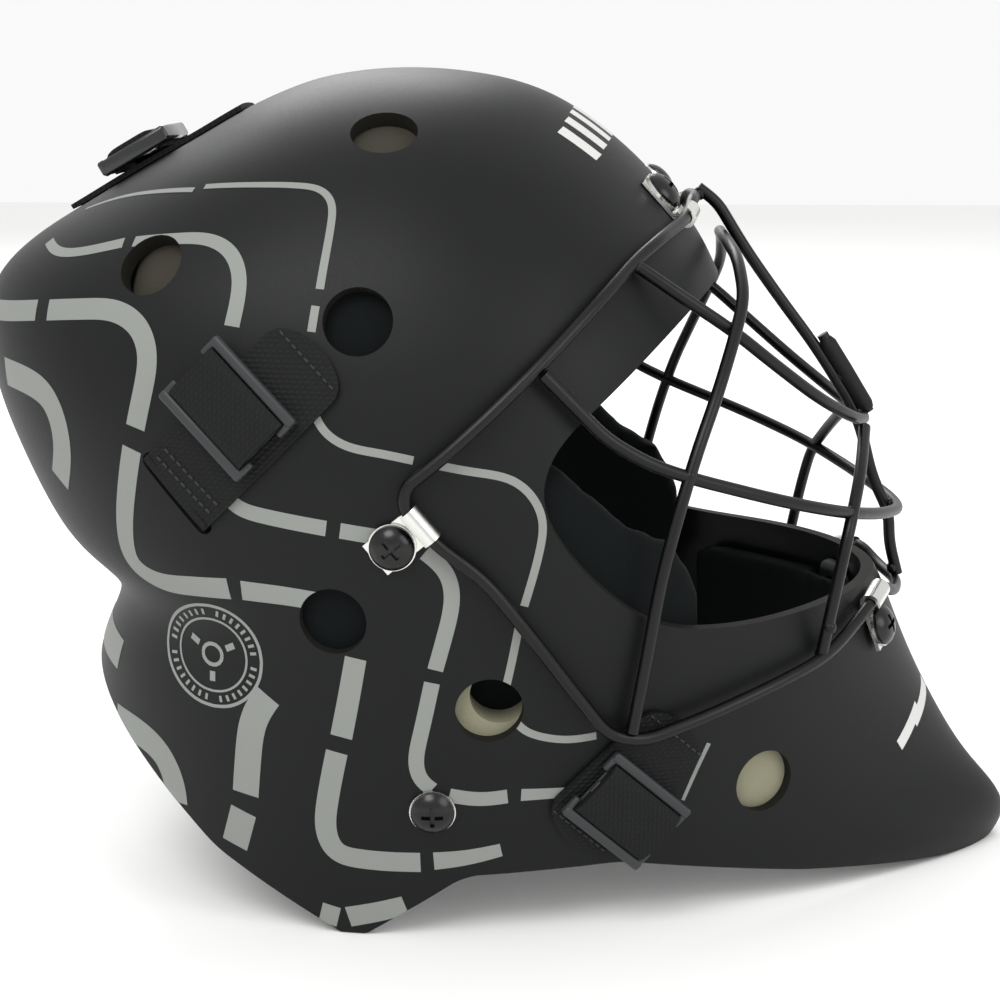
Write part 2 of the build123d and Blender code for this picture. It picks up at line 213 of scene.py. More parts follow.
def piece(name, points, faces, materials, groups=None):
    """A mesh object from millimetre points."""
    mesh = bpy.data.meshes.new(name)
    mesh.from_pydata([tuple(float(c) * MM for c in p) for p in points], [], [tuple(f) for f in faces])
    for material in materials:
        mesh.materials.append(material)
    if groups is not None:
        mesh.polygons.foreach_set("material_index", groups)
    mesh.validate()
    mesh.shade_smooth()
    made = bpy.data.objects.new(name, mesh)
    bpy.context.scene.collection.objects.link(made)
    return made


outer, outer_faces = closed_form(0.0)
inner, inner_faces = closed_form(-wall, len(outer), True)
rim = []
for c in range(len(turns)):
    n = (c + 1) % len(turns)
    rim.append((c, c + len(outer), n + len(outer), n))
shell = piece(
    "shell_moulding", np.concatenate([outer, inner]), outer_faces + inner_faces + rim,
    [shell_black, shell_edge],
)
on_form = BVHTree.FromPolygons([tuple(p) for p in outer], outer_faces)


def rounded(points, radii):
    """A side-view outline with its corners rounded."""
    spots = [Vector(p) for p in points]
    line = [spots[0]]
    for i in range(1, len(spots) - 1):
        before = (spots[i - 1] - spots[i]).normalized()
        after = (spots[i + 1] - spots[i]).normalized()
        half = before.angle(after) / 2
        radius = radii[i - 1]
        away = radius / math.tan(half)
        centre = spots[i] + (before + after).normalized() * radius / math.sin(half)
        start, end = spots[i] + before * away - centre, spots[i] + after * away - centre
        for share in np.linspace(0, 1, 9):
            line.append(centre + start.slerp(end, share).normalized() * radius)
    return line + [spots[-1]]


heart = Vector((-30, 0, 120))  # well inside the form


def seat(x, z, side):
    """The place on the outer form seen from that side, and the way out of it."""
    spot, normal, _, _ = on_form.ray_cast(Vector((x, side * 300, z)), Vector((0, -side, 0)))
    if spot is None:
        spot, normal, _, _ = on_form.find_nearest(Vector((x, side * 4, z)))
    return spot, (normal if normal.dot(spot - heart) > 0 else -normal)


cut_points, cut_faces = [], []


def cut_prism(outline, reach):
    """A cutter with closed ends: an outline carried along a direction."""
    start, count = len(cut_points), len(outline)
    cut_points.extend(tuple(Vector(p) + Vector(reach)) for p in outline)
    cut_points.extend(tuple(Vector(p) - Vector(reach)) for p in outline)
    cut_faces.append(tuple(range(start, start + count)))
    cut_faces.append(tuple(range(start + 2 * count - 1, start + count - 1, -1)))
    for i in range(count):
        n = (i + 1) % count
        cut_faces.append((start + i, start + count + i, start + count + n, start + n))


past_side = (0, 140, 0)
rear_edge = rounded([(-200, 0, 73), (-135, 0, 71), (-86, 0, 24), (-47, 0, 0.05)], [6, 40])
chin_edge = rounded(
    [
        (-47, 0, 0.05), (-39, 0, 0.05), (-9, 0, 20.5), (38, 0, 21.5), (96, 0, 9), (150, 0, 0.05),
        (200, 0, 0.05),
    ],
    [4, 18, 40, 120, 60],
)
cut_prism([(200, 0, -40), (-200, 0, -40)] + rear_edge + chin_edge[1:], past_side)
face_knots = np.array([
    (200, 196), (110, 195.5), (69, 193), (52, 182), (30, 163), (17, 149), (14.5, 137), (20, 124), (34, 108),
    (48, 98.5), (64, 95), (98, 95), (200, 95),
], float)
runs = np.concatenate([[0], np.cumsum(np.linalg.norm(np.diff(face_knots, axis=0), axis=1))])
face_line = spline(runs, face_knots, np.linspace(0, runs[-1], 160))
cut_prism([(x, 0, z) for x, z in face_line], past_side)

air_vent = (-1, 75)
vents = [(-34, 239), (-100, 202), (-38, 188), (-46, 102), air_vent, (82, 42)]
vent_radius, cut_depth = 10, 14
for x, z in vents:
    for side in (-1, 1):
        spot, normal = seat(x, z, side)
        across = normal.cross(Vector((0, 0, 1))).normalized()
        up = across.cross(normal)
        ring = []
        for t in np.arange(56) * math.pi / 28:
            ring.append(spot + (across * math.cos(t) + up * math.sin(t)) * vent_radius)
        cut_prism(ring, normal * cut_depth)
side_slot = (-91.5, 137.5)
slot_reach, slot_end = 12, 2.75
for spot, normal, along in (
    (*seat(*side_slot, -1), Vector((0.7, 0, -0.7))),
    (*seat(*side_slot, 1), Vector((0.7, 0, -0.7))),
    (Vector((-140, 0, 211.5)), Vector((-0.5, 0, 0.866)), Vector((0, 1, 0))),
):
    along = (along - normal * along.dot(normal)).normalized()
    over = normal.cross(along)
    ring = []
    for end in (1, -1):
        for t in np.linspace(-math.pi / 2, math.pi / 2, 13):
            way = along * (slot_reach + slot_end * math.cos(t)) + over * slot_end * math.sin(t)
            ring.append(spot + end * way)
    cut_prism(ring, normal * cut_depth)


def turn_outwards(mesh, weld=0.0, triangles=False):
    """Turns a closed mesh's faces outwards, once its doubles are merged."""
    work = bmesh.new()
    work.from_mesh(mesh)
    if weld:
        bmesh.ops.remove_doubles(work, verts=work.verts, dist=weld)
    bmesh.ops.recalc_face_normals(work, faces=work.faces)
    if triangles:
        bmesh.ops.triangulate(work, faces=work.faces, ngon_method="EAR_CLIP")
    work.to_mesh(mesh)
    work.free()


def cut_away(made, tool):
    """Adds a Boolean cut. The tool and the piece are both closed."""
    cut = made.modifiers.new("cut", "BOOLEAN")
    cut.operation, cut.solver, cut.object = "DIFFERENCE", "MANIFOLD", tool


def sharpen(made, degrees):
    """Smooth shading, but with sharp edges above an angle."""
    mesh = made.data
    mesh.shade_smooth()
    mesh.set_sharp_from_angle(angle=math.radians(degrees))


def apply_all(made):
    """Applies an object's modifiers."""
    graph = bpy.context.evaluated_depsgraph_get()
    graph.update()
    mesh = bpy.data.meshes.new_from_object(made.evaluated_get(graph), depsgraph=graph)
    made.modifiers.clear()
    old = made.data
    made.data = mesh
    bpy.data.meshes.remove(old)


cutter = piece("cutter", cut_points, cut_faces, [shell_black, shell_edge], groups=[1] * len(cut_faces))
turn_outwards(cutter.data, triangles=True)
cut_away(shell, cutter)
apply_all(shell)
sharpen(shell, 40)
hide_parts("shell")
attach(shell, "mask")

# ---- Shell graphics ----
# Pale grey stripes printed on the shell, about the thickness of a film, with small gaps. The other side is a
# mirror image. The round badge and the bars on the forehead and chin are plain stand-ins without lettering.
# Printed film: pale and flat, with hardly any shine
print_grey, tree, shader = finish_of("print_pale_grey", "#80837f", 0.6, Specular_IOR_Level=0.2)
grain(tree, shader, 0.9, 0.012, 0.5, 0.6)


def smooth_line(points, pitch):
    """Evenly spaced places on a smooth line through points."""
    points = np.asarray(points, float)
    if len(points) > 2:
        runs = np.concatenate([[0], np.cumsum(np.linalg.norm(np.diff(points, axis=0), axis=1) ** 0.75)])
        points = spline(runs, points, np.linspace(0, runs[-1], 24 * len(points)))
    runs = np.concatenate([[0], np.cumsum(np.linalg.norm(np.diff(points, axis=0), axis=1))])
    count = max(3, int(runs[-1] / pitch) + 1)
    at = np.linspace(0, runs[-1], count)
    return np.stack([np.interp(at, runs, points[:, k]) for k in range(3)], 1), at, runs[-1]


def band(points, width, low, high, pitch=1.2, columns=4, half=None):
    """A closed band that lies on the outer form along a line. Half gives half the width at a distance."""
    line, at, length = smooth_line(points, pitch)
    spots, outs = [], []
    for p in line:
        spot, normal, _, _ = on_form.find_nearest(Vector(p))
        spots.append(spot)
        outs.append(normal)
    made, faces = [], []
    row = 2 * (columns + 1)
    for i, spot in enumerate(spots):
        ahead = (spots[min(i + 1, len(spots) - 1)] - spots[max(i - 1, 0)]).normalized()
        over = outs[i].cross(ahead).normalized()
        reach = half(at[i], length) if half else np.interp(at[i], [0, length], width) / 2
        top, bottom = [], []
        for c in range(columns + 1):
            spot2, normal, _, _ = on_form.find_nearest(spot + over * reach * (2 * c / columns - 1))
            top.append(spot2 + normal * high)
            bottom.append(spot2 + normal * low)
        made += top + bottom[::-1]
        if i:
            for c in range(row):
                n = (c + 1) % row
                a, b = (i - 1) * row, i * row
                faces.append((a + c, b + c, b + n, a + n))
    faces.append(tuple(range(row)))
    faces.append(tuple(range(len(made) - 1, len(made) - row - 1, -1)))
    return made, faces


def mirror(points, faces):
    """The points and faces of a part and its mirror image."""
    count = len(points)
    points = list(points) + [Vector((p[0], -p[1], p[2])) for p in points]
    return points, list(faces) + [tuple(i + count for i in face[::-1]) for face in faces]


def near(points):
    """Places on the near side of the form, from places in the side view."""
    return [tuple(seat(x, z, -1)[0]) for x, z in points]


# The widths at a stripe's two ends, and its line in the side view
stripes = [
    ((1.4, 2.0), [(-130, 214), (-116, 218.5), (-102, 221), (-90, 222)]),
    ((2.0, 2.4), [
        (-86.5, 223), (-70, 224), (-57, 224), (-51, 223), (-47.5, 220), (-46.8, 214), (-48, 204),
        (-49, 196.5),
    ]),
    ((2.4, 2.4), [(-50, 192), (-51, 185)]),
    ((2.4, 2.4), [(-50, 163), (-47, 158), (-41, 154), (-32, 152), (-22, 150)]),
    ((2.4, 2.4), [(-17, 149), (-5, 146.5), (5, 144), (11, 139), (14, 132), (13.5, 124), (9, 107)]),
    ((2.4, 2.4), [(7.5, 101), (5, 88), (2.5, 77)]),
    ((2.4, 2.4), [(6, 72), (9, 68.5), (14, 66), (22, 64.5), (30, 65)]),
    ((3.2, 3.8), [(-139, 205), (-133, 203), (-123, 204), (-110, 207)]),
    ((3.8, 4.6), [(-106.5, 207.5), (-92, 209), (-83, 209), (-76, 206), (-72.5, 199), (-74, 186)]),
    ((4.6, 4.6), [(-77, 139), (-72.5, 135), (-66, 133), (-57, 131.5), (-47, 130)]),
    ((4.6, 4.6), [(-43, 129.5), (-33, 128)]),
    ((4.6, 4.6), [(-19, 123.5), (-13.5, 118), (-11.5, 111), (-13.5, 99), (-16.5, 88)]),
    ((4.6, 4.6), [(-17.5, 84), (-21, 68), (-22.5, 58), (-21, 53), (-18, 50)]),
    ((4.6, 4.6), [(-13, 48), (-4, 46.5), (4, 47)]),
    ((4.0, 3.2), [(8, 47.2), (22, 47)]),
    ((6.4, 6.4), [(-168, 183), (-160, 183.5), (-148, 185), (-138, 186.5)]),
    ((6.4, 6.6), [
        (-133.5, 187), (-120, 188.5), (-110, 188.5), (-102.5, 184.5), (-99.5, 177), (-101, 166),
        (-103.5, 156),
    ]),
    ((6.8, 6.8), [
        (-105, 149.5), (-108, 136), (-110, 121), (-108, 112.5), (-101, 108.5), (-90, 108.5),
        (-77, 109.5),
    ]),
    ((6.2, 5.6), [(-73, 109.5), (-60, 109), (-50, 108)]),
    ((6.4, 6.6), [(-39.5, 91), (-42, 78), (-44.5, 66)]),
    ((6.6, 6.6), [(-46, 61), (-49.5, 44), (-50, 34), (-47, 28), (-40, 26), (-31, 25.5), (-22, 25.5)]),
    ((6.0, 4.4), [(-18, 26), (-8, 27), (2, 29)]),
    ((8.8, 8.8), [(-152, 166), (-142, 165), (-134, 161), (-130.5, 153), (-130.5, 144), (-133, 135)]),
    ((8.8, 8.8), [(-66.5, 77), (-71, 69), (-73.5, 57), (-75, 44)]),
    ((8.8, 8.8), [(-76, 38), (-79.5, 26)]),
    ((9.5, 9.5), [(-121, 56), (-110, 54.5), (-103, 50), (-99.5, 42), (-99, 36)]),
    ((7.0, 7.0), [(-53, 6.5), (-47.5, 5)]),
    ((7.0, 6.5), [(-44.5, 5.5), (-35, 8), (-27, 10.5)]),
    ((9.5, 9.5), [(-143, 80), (-131, 77.5), (-120, 76)]),
    ((1.5, 1.2), [(64, 58), (60.5, 50), (56.5, 40)]),
]
printed, printed_faces = [], []


def put(points, faces):
    """Adds a part to those that are printed or sewn together."""
    start = len(printed)
    printed.extend(points)
    printed_faces.extend(tuple(i + start for i in face) for face in faces)


for width, points in stripes:
    put(*band(near(points), width, -0.25, 0.12))


badge_x, badge_z = -84, 87


def on_badge(radius, turn):
    """A place on the form at a radius and angle from the badge's middle."""
    return tuple(seat(badge_x + radius * math.cos(turn), badge_z + radius * math.sin(turn), -1)[0])


for radius, width in ((15.9, 1.0), (11.2, 0.7), (3.2, 1.2)):
    for quarter in range(4):
        arc = [on_badge(radius, (quarter + k / 6) * math.pi / 2) for k in range(7)]
        put(*band(arc, (width, width), -0.2, 0.14, columns=2))
for tick in range(36):
    if tick % 9:
        turn = tick * math.pi / 18
        put(*band([on_badge(12.6, turn), on_badge(14.5, turn)], (0.9, 0.9), -0.2, 0.14, columns=2))
for bar in (-1, 0, 1):
    turn = 0.5 + bar * 2.09
    put(*band([on_badge(8.2, turn), on_badge(5.2, turn)], (2.0, 2.0), -0.2, 0.14, columns=2))
points, faces = mirror(printed, printed_faces)
printed, printed_faces = [], []
for bar in range(4):
    across_y = -5 - 11.5 * bar
    ends = [on_form.find_nearest(Vector((x, across_y, z)))[0] for x, z in ((30.5, 232), (20, 243))]
    put(*band(ends, (6.0, 6.0), -0.2, 0.12))
for bar in (0, 1):
    put(*band(near([(142 - 6 * bar, 56 - 5 * bar), (134.5 - 6 * bar, 47 - 5 * bar)]), (4.0, 4.0), -0.2, 0.12))
print_white, tree, shader = finish_of("print_white", "#c4c5c2", 0.6, Specular_IOR_Level=0.2)
grain(tree, shader, 0.9, 0.012, 0.5, 0.6)
marks = piece("shell_marks", *mirror(printed, printed_faces), [print_white])
sharpen(marks, 30)
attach(marks, "mask")
graphics = piece("shell_graphics", points, faces, [print_grey])


def finish_with(mesh, *materials):
    """Gives a mesh these materials and no others."""
    mesh.materials.clear()
    for material in materials:
        mesh.materials.append(material)


cut_away(graphics, cutter)
apply_all(graphics)
finish_with(graphics.data, print_grey)
sharpen(graphics, 30)
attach(graphics, "mask")
bpy.data.objects.remove(cutter)

# ---- Liner ----
# Foam pads glued inside the shell and covered in black brushed fabric, with bare foam behind some vents. Each
# is smoothed, then blown up a little by a cloth simulation, so that its faces puff and its edges round. The
# cheek pads reach further back than their CAD parts, to lie behind a vent, and have blind air holes.
# Bare foam is dull and open grained, and the brushed fabric is darker and nearly without shine.
foam, tree, shader = finish_of("liner_foam_olive_grey", "#817f69", 0.9)
grain(tree, shader, 0.8, 0.16, 0.85, 0.95, 3.0)
dark_foam, tree, shader = finish_of("liner_foam_dark_olive", "#322e25", 0.9)
grain(tree, shader, 0.8, 0.2, 0.85, 0.95, 3.0)
fabric, tree, shader = finish_of("liner_brushed_fabric_black", "#040809", 0.9, Specular_IOR_Level=0.15)
grain(tree, shader, 0.5, 0.08, 0.75, 0.9, 4.0)
cut_points, cut_faces = [], []
hole_radius, hole_start, hole_half = 9.5, 12, 26
for side in (-1, 1):
    spot, normal = seat(3, 78.5, side)
    start = spot + normal * hole_start
    ring = [start + Vector((math.cos(t), 0, math.sin(t))) * hole_radius for t in np.arange(40) * math.pi / 20]
    cut_prism(ring, normal * hole_half)
air_holes = piece("air_holes", cut_points, cut_faces, [foam])
turn_outwards(air_holes.data)
pads = [n for n in sorted(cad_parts) if n.endswith("_pad") or "_pad_" in n]
blown = []
last_moment = 20
puff = 0.6  # the furthest that a face moves out
back_stretch, stretch_from, stretch_run = 9, -20, 30
for name in pads:
    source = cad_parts[name].data
    mesh = source.copy()
    mesh.name = name + "_soft"
    pad = bpy.data.objects.new(name + "_soft", mesh)
    bpy.context.scene.collection.objects.link(pad)
    turn_outwards(mesh, weld=0.02 * MM)
    remesh = pad.modifiers.new("remesh", "REMESH")
    remesh.mode, remesh.voxel_size = "VOXEL", 4 * MM
    ease = pad.modifiers.new("ease", "SMOOTH")
    ease.factor, ease.iterations = 0.5, 7
    apply_all(pad)
    cloth = pad.modifiers.new("cloth", "CLOTH")
    cloth.settings.use_pressure = True
    cloth.settings.uniform_pressure_force = 4
    cloth.settings.effector_weights.gravity = 0
    cloth.settings.quality = 4
    cloth.settings.tension_stiffness = 25
    cloth.point_cache.frame_start, cloth.point_cache.frame_end = 1, last_moment
    blown.append((name, pad))
for moment in range(1, last_moment + 1):
    bpy.context.scene.frame_set(moment)
olive, dark = 1, 2  # the foams' places among a pad's materials
patch_radius, hole_wall, patch_depth = 17, 15.5, 13.2
behind_vents = (((82, 42), olive), (air_vent, olive), ((-100, 202), dark), ((-34, 239), dark))
for name, pad in blown:
    start = np.array([v.co for v in pad.data.vertices])
    apply_all(pad)
    end = np.array([v.co for v in pad.data.vertices])
    move = end - start
    far = np.linalg.norm(move, axis=1, keepdims=True)
    move *= np.minimum(1, puff * MM / np.maximum(far, 1e-9))
    pad.data.vertices.foreach_set("co", (start + move).ravel())
    if name.startswith("cheek"):
        for v in pad.data.vertices:
            v.co.x -= back_stretch * MM * min(1, max(0, (stretch_from - v.co.x / MM) / stretch_run))
    finer = pad.modifiers.new("finer", "SUBSURF")
    finer.levels = finer.render_levels = 1
    if name.startswith("cheek"):
        cut_away(pad, air_holes)
    apply_all(pad)
    mesh = pad.data
    finish_with(mesh, fabric, foam, dark_foam)
    for place, kind in behind_vents:
        for side in (-1, 1):
            spot, normal = seat(*place, side)
            for face in mesh.polygons:
                away = face.center / MM - spot
                beside = (away - normal * away.dot(normal)).length
                facing = face.normal.dot(normal)
                in_hole = place == air_vent and beside < hole_wall and abs(facing) < 0.25
                shows = beside < patch_radius and away.length < 30 and away.dot(normal) > -patch_depth
                if shows and (facing > 0.3 or in_hole):
                    face.material_index = kind
    sharpen(pad, 50)
    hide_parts(name)
    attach(pad, "mask")
bpy.data.objects.remove(air_holes)
bpy.context.scene.frame_set(1)

# ---- Cage ----
# Eight bent wires of 3.8 mm steel, welded where they cross and powder coated in satin black. The CAD wires
# stay, with a bead of weld at each crossing and a dull black rubber sleeve on the nose wire.
coat, tree, shader = finish_of("cage_powder_coat_satin_black", "#020202", 0.38, Specular_IOR_Level=0.3)
grain(tree, shader, 0.7, 0.015, 0.32, 0.42)
wires = [n for n in sorted(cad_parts) if n.startswith("cage_")]
trees = {}
for name in wires:
    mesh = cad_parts[name].data
    finish_with(mesh, coat)
    sharpen(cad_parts[name], 50)
    mesh.calc_loop_triangles()
    corners = [v.co / MM for v in mesh.vertices]
    trees[name] = (BVHTree.FromPolygons(corners, [t.vertices for t in mesh.loop_triangles]), mesh, corners)
crossings = []
apart = 7  # touches nearer than this are one crossing
for i, first in enumerate(wires):
    for second in wires[i + 1 :]:
        for a, b in trees[first][0].overlap(trees[second][0]):
            touching = trees[first][1].loop_triangles[a].vertices
            place = sum((trees[first][2][v] for v in touching), Vector()) / 3
            for group in crossings:
                if (sum(group, Vector()) / len(group) - place).length < apart:
                    group.append(place)
                    break
            else:
                crossings.append([place])
beads = bpy.data.node_groups.new("weld_beads", "GeometryNodeTree")
beads.interface.new_socket("Places", in_out="INPUT", socket_type="NodeSocketGeometry")
size = beads.interface.new_socket("Bead Radius", in_out="INPUT", socket_type="NodeSocketFloat")
seed = beads.interface.new_socket("Seed", in_out="INPUT", socket_type="NodeSocketInt")
beads.interface.new_socket("Beads", in_out="OUTPUT", socket_type="NodeSocketGeometry")
given = add(beads, "NodeGroupInput")
ball = add(beads, "GeometryNodeMeshIcoSphere", {"Radius": given.outputs["Bead Radius"], "Subdivisions": 3})
vary = add(
    beads, "FunctionNodeRandomValue",
    {"Min": (0.85, 0.85, 0.85), "Max": (1.1, 1.1, 1.1), "Seed": given.outputs["Seed"]},
    data_type="FLOAT_VECTOR",
)
spread = add(
    beads, "GeometryNodeInstanceOnPoints",
    {"Points": given.outputs["Places"], "Instance": ball.outputs["Mesh"], "Scale": vary.outputs["Value"]},
)
smooth = add(beads, "GeometryNodeSetShadeSmooth", {"Geometry": spread.outputs["Instances"]})
real = add(beads, "GeometryNodeRealizeInstances", {"Geometry": smooth.outputs["Geometry"]})
dressed = add(beads, "GeometryNodeSetMaterial", {"Geometry": real.outputs["Geometry"]})
dressed.inputs["Material"].default_value = coat
add(beads, "NodeGroupOutput", {"Beads": dressed.outputs["Geometry"]})
welds = piece("cage_welds", [sum(g, Vector()) / len(g) for g in crossings], [], [coat])
grow = welds.modifiers.new("beads", "NODES")
grow.node_group = beads
bead_radius = 2.1
grow[size.identifier] = bead_radius * MM
grow[seed.identifier] = 4
apply_all(welds)
finish_with(welds.data, coat)
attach(welds, "mask")
sleeve_radius = 2.9
sleeve_line = bpy.data.curves.new("nose_sleeve", "CURVE")
sleeve_line.dimensions = "3D"
sleeve_line.bevel_depth, sleeve_line.bevel_resolution = sleeve_radius * MM, 5
sleeve_line.use_fill_caps = True
track = sleeve_line.splines.new("POLY")
route = [
    (104, 0, 170, 0.72), (105, 0, 168.4, 1), (110.4, 0, 160, 1), (117.5, 0, 148.5, 1), (118.5, 0, 146.8, 0.8),
]
track.points.add(len(route) - 1)
for place, (x, y, z, share) in zip(track.points, route):
    place.co, place.radius = (x * MM, y * MM, z * MM, 1), share
sleeve = bpy.data.objects.new("nose_sleeve", sleeve_line)
bpy.context.scene.collection.objects.link(sleeve)
graph = bpy.context.evaluated_depsgraph_get()
graph.update()
mesh = bpy.data.meshes.new_from_object(sleeve.evaluated_get(graph), depsgraph=graph)
bpy.data.objects.remove(sleeve)
sleeve = bpy.data.objects.new("cage_nose_sleeve", mesh)
bpy.context.scene.collection.objects.link(sleeve)
rubber, tree, shader = finish_of("sleeve_black_rubber", "#060606", 0.6, Specular_IOR_Level=0.3)
grain(tree, shader, 0.8, 0.03, 0.55, 0.68)
finish_with(mesh, rubber)
sharpen(sleeve, 50)
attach(sleeve, "mask")

# ---- Clips, washers, screws and nuts ----
# Bright stainless strips rolled round the frame wire, held by gloss black cross-head screws on washers, with
# tee nuts behind the wall. The CAD parts stay, with a small bevel on their pressed edges. The steel is bright
# with a fine grain, the screws' black has a sharp highlight, and the zinc on the nuts is greyer and duller.
steel, tree, shader = finish_of("clip_stainless_bright", "#d6d6d2", 0.2, 1.0)
grain(tree, shader, 0.5, 0.006, 0.14, 0.3)
screw_black, tree, shader = finish_of("screw_gloss_black", "#040404", 0.26, Specular_IOR_Level=0.4)
grain(tree, shader, 1.5, 0.02, 0.2, 0.32)
nut_steel, tree, shader = finish_of("nut_zinc_plated", "#a9abad", 0.36, 1.0)
grain(tree, shader, 0.8, 0.01, 0.3, 0.45)
dressings = [
    ("_clip_", steel, 0.22), ("washers", steel, 0.2), ("screws", screw_black, 0.25),
    ("tee_nuts", nut_steel, 0.15),
]
for name, node in sorted(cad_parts.items()):
    for part, material, width in dressings:
        if part in name:
            finish_with(node.data, material)
            sharpen(node, 35)
            edge = node.modifiers.new("pressed_edge", "BEVEL")
            edge.width, edge.segments, edge.limit_method = width * MM, 2, "ANGLE"
            edge.angle_limit = math.radians(40)
            edge.use_clamp_overlap = True

# ---- Straps ----
# Flat black polyester webbing, 27 mm wide and 1.6 mm thick, that lies on the shell. The side and jaw straps
# have rounded, heat-cut ends and rows of stitches, and the side straps dive through their slots. The weave
# is a diagonal twill with ribs across it, which break up the light. Its colour is painted shade and
# highlight:
# darker in the weave's hollows and lighter on its raised threads.
webbing, tree, shader = finish_of("webbing_black_polyester", "#0a0b0b", 0.75, Specular_IOR_Level=0.25)
cloth_place = add(tree, "ShaderNodeUVMap", uv_map="weave").outputs["UV"]
twill = add(
    tree, "ShaderNodeTexWave", {"Vector": cloth_place, "Scale": 0.32, "Distortion": 0.6, "Detail": 1.0},
    wave_type="BANDS", bands_direction="DIAGONAL",
)
ribs = add(
    tree, "ShaderNodeTexWave", {"Vector": cloth_place, "Scale": 0.22, "Distortion": 0.2}, bands_direction="Y",
)
both = add(tree, "ShaderNodeMath", {0: twill.outputs["Fac"], 1: ribs.outputs["Fac"]}, operation="MULTIPLY")
bump = add(tree, "ShaderNodeBump", {"Height": both.outputs["Value"], "Distance": 0.22 * MM})
tree.links.new(bump.outputs["Normal"], shader.inputs["Normal"])
# Painted shade and highlight: the colour follows the weave's height, darker where it is low and lighter where
# it is high.
weave_painted_shade = add(tree, "ShaderNodeMix", {"Factor": both.outputs["Value"]}, data_type="RGBA")
weave_painted_shade.inputs["A"].default_value, weave_painted_shade.inputs["B"].default_value = linear("#070808"), linear("#131415")
tree.links.new(weave_painted_shade.outputs["Result"], shader.inputs["Base Color"])
thread, tree, shader = finish_of("strap_thread_black", "#101112", 0.6)
grain(tree, shader, 0.4, 0.03, 0.5, 0.65)


def weave_map(made, along, over):
    """A map in millimetres along and across a strap."""
    layer = made.data.uv_layers.new(name="weave")
    along, over = Vector(along).normalized(), Vector(over).normalized()
    for loop in made.data.loops:
        spot = made.data.vertices[loop.vertex_index].co / MM
        layer.data[loop.index].uv = (spot.dot(along), spot.dot(over))


strap_width, strap_low, strap_high = 27, 0.4, 2.0
end_rounding = 9  # how far from its end a strap starts to narrow
jaw_end = (12, 22)
diagonal = math.sqrt(0.5)


def strap(name, start, run, side, dives, round_ends):
    """A strap on one side: it starts at a place seen from the side and leans forward at 45 degrees."""
    points = []
    for s in np.linspace(*run, 9):
        points.append(seat(start[0] + s * diagonal, start[1] + s * diagonal, side)[0])

    def half(at, length):
        from_end = min(length - at, at) if round_ends == 2 else length - at
        return strap_width / 2 * math.sqrt(max(0.06, 1 - max(0, 1 - from_end / end_rounding) ** 2.4))

    made, faces = band(
        points, (strap_width, strap_width), strap_low, strap_high, pitch=1.0, columns=12, half=half
    )
    body = piece(name, made, faces, [webbing])
    if dives:
        inward = -seat(*start, side)[1]
        end, faces = [], []
        over = (points[1] - points[0]).cross(inward).normalized()
        along = (points[1] - points[0]).normalized()
        for depth in (-2.0, 7.0):
            for a, b in ((-13, -0.8), (13, -0.8), (13, 0.8), (-13, 0.8)):
                end.append(points[0] + over * a + along * (b + 1.6) + inward * depth)
        for i in range(4):
            faces.append((i, (i + 1) % 4, 4 + (i + 1) % 4, 4 + i))
        faces += [(3, 2, 1, 0), (4, 5, 6, 7)]
        tail = piece(name + "_tail", end, faces, [webbing])
        with bpy.context.temp_override(
            active_object=body, object=body, selected_objects=[body, tail],
            selected_editable_objects=[body, tail],
        ):
            bpy.ops.object.join()
    weave_map(body, (diagonal, 0, diagonal), (-diagonal, 0, diagonal))
    sharpen(body, 40)
    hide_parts(name)
    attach(body, "mask")


for side, sign in (("left", 1), ("right", -1)):
    strap(f"side_strap_{side}", side_slot, (0, 61), sign, True, 1)
    strap(f"jaw_strap_{side}", jaw_end, (13.5, 62), sign, False, 2)
printed, printed_faces = [], []
stitch_pitch, stitch_half = 2.5, 0.85
for (start_x, start_z), rows in ((side_slot, (5, 8.5, 56)), (jaw_end, (18, 58))):
    for row in rows:
        for stitch in range(-4, 5):
            ends = []
            for over in (stitch * stitch_pitch - stitch_half, stitch * stitch_pitch + stitch_half):
                ends.append((start_x + (row - over) * diagonal, start_z + (row + over) * diagonal))
            put(*band(near(ends), (0.7, 0.7), 1.9, 2.25, pitch=0.6, columns=2))
stitches = piece("strap_stitches", *mirror(printed, printed_faces), [thread])
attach(stitches, "mask")
crown_line = []
for x in np.linspace(-139.5, -84, 10):
    spot = on_form.ray_cast(Vector((x, 0.01, 400)), Vector((0, 0, -1)))[0]
    crown_line.append(spot)
made, faces = band(crown_line, (strap_width, strap_width), strap_low, strap_high, pitch=1.0, columns=10)
crown = piece("crown_strap_webbing", made, faces, [webbing])
weave_map(crown, (0.87, 0, 0.5), (0, 1, 0))
sharpen(crown, 40)
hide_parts("crown_strap")
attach(crown, "mask")

# ---- Sliders and crown buckle ----
# Moulded acetal three-bar sliders: two thick outer bars with short hooked ends, and a thin middle bar under
# the arch of webbing. Their acetal is black and satin, but its colour is set to dark grey, a painted sheen
# that stands in for the grey highlights along the bars. The crown's buckle is thicker, with a wall down each
# side, and is blacker and glossier. Each rides on its own body.
# Painted sheen: the sliders' black acetal is given a dark grey colour, which stands in for the highlights on
# their bars.
slider_acetal_painted_sheen, tree, shader = finish_of("slider_black_acetal_painted_sheen", "#2c2e2f", 0.5, Specular_IOR_Level=0.35)
grain(tree, shader, 0.6, 0.01, 0.36, 0.5)
buckle_plastic, tree, shader = finish_of("buckle_gloss_black_acetal", "#121314", 0.2, Coat_Weight=0.2)
grain(tree, shader, 0.8, 0.01, 0.16, 0.26)


